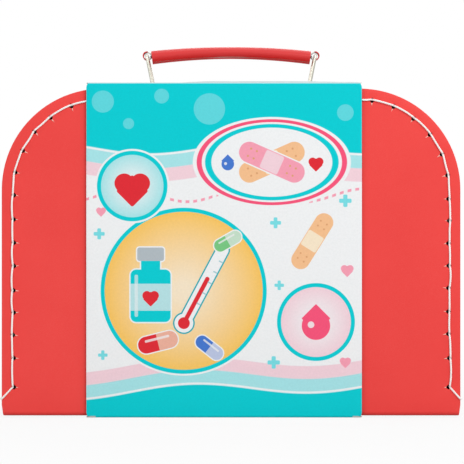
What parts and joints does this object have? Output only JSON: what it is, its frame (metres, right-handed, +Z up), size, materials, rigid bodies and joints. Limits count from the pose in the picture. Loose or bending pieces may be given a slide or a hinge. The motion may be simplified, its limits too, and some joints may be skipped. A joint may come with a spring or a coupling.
{
  "type": "toy doctor case",
  "caption": "Upright toy suitcase of stitched paper-covered board, with a hinged lid, a folding sheet-metal handle on wire rings, a hasp latch and a printed card sleeve.",
  "frame": {"origin": "under the middle of the case, on the surface that it stands on", "axes": "+X along the case's width, to the right seen from the front; -Y towards the front panel, so +Y runs through its depth to the back; +Z up"},
  "size_m": [0.2518, 0.0936, 0.2062],
  "materials": {
    "red_board": "satin",
    "red_rim": "satin",
    "thread": "matte",
    "hinge_cloth": "matte",
    "printed_card": "glossy",
    "grip_coating": "glossy",
    "nickel_wire": "polished",
    "hardware_steel": "satin"
  },
  "bodies": {
    "case_base": {"base_board": "red_board", "base_rim": "red_rim", "base_stitching": "thread", "hinge_strip": "hinge_cloth", "sleeve_back": "printed_card", "handle_bracket_left": "hardware_steel", "handle_bracket_right": "hardware_steel", "handle_rivet_left": "nickel_wire", "handle_rivet_right": "nickel_wire", "handle_washer_left": "hardware_steel", "handle_washer_right": "hardware_steel", "latch_catch": "hardware_steel", "catch_rivet_left": "nickel_wire", "catch_rivet_right": "nickel_wire", "catch_washer_left": "hardware_steel", "catch_washer_right": "hardware_steel"},
    "case_lid": {"lid_board": "red_board", "lid_rim": "red_rim", "lid_stitching": "thread", "sleeve_front": "printed_card", "latch_plate": "hardware_steel", "latch_pin": "nickel_wire", "latch_rivet_left": "nickel_wire", "latch_rivet_right": "nickel_wire", "latch_washer_left": "hardware_steel", "latch_washer_right": "hardware_steel"},
    "hasp": {"latch_hasp": "hardware_steel"},
    "left_ring": {"handle_ring_left": "nickel_wire"},
    "right_ring": {"handle_ring_right": "nickel_wire"},
    "grip": {"handle_grip": "grip_coating"}
  },
  "joints": [
    {"name": "lid_hinge", "type": "hinge", "parent": "case_base", "child": "case_lid", "pos_m": [0, -0.009, 0], "axis": [1, 0, 0], "range_deg": [0, 175], "deforming": ["hinge_strip"]},
    {"name": "hasp_hinge", "type": "hinge", "parent": "case_lid", "child": "hasp", "pos_m": [0, -0.0005, 0.18025], "axis": [1, 0, 0], "range_deg": [-12, 100]},
    {"name": "handle_fold", "type": "hinge", "parent": "case_base", "child": "left_ring", "pos_m": [-0.0432, 0.017, 0.17865], "axis": [0, 1, 0], "range_deg": [0, 45]},
    {"name": "right_ring_swing", "type": "hinge", "parent": "case_base", "child": "right_ring", "pos_m": [0.0432, 0.017, 0.17865], "axis": [0, 1, 0], "range_deg": [0, 53]},
    {"name": "grip_pivot", "type": "hinge", "parent": "left_ring", "child": "grip", "pos_m": [-0.0477, 0.017, 0.20105], "axis": [0, 1, 0], "range_deg": [-40, 0]}
  ],
  "couplings": [
    {"joint": "right_ring_swing", "follows": "handle_fold", "ratio": 1.17},
    {"joint": "grip_pivot", "follows": "handle_fold", "ratio": -0.88}
  ]
}
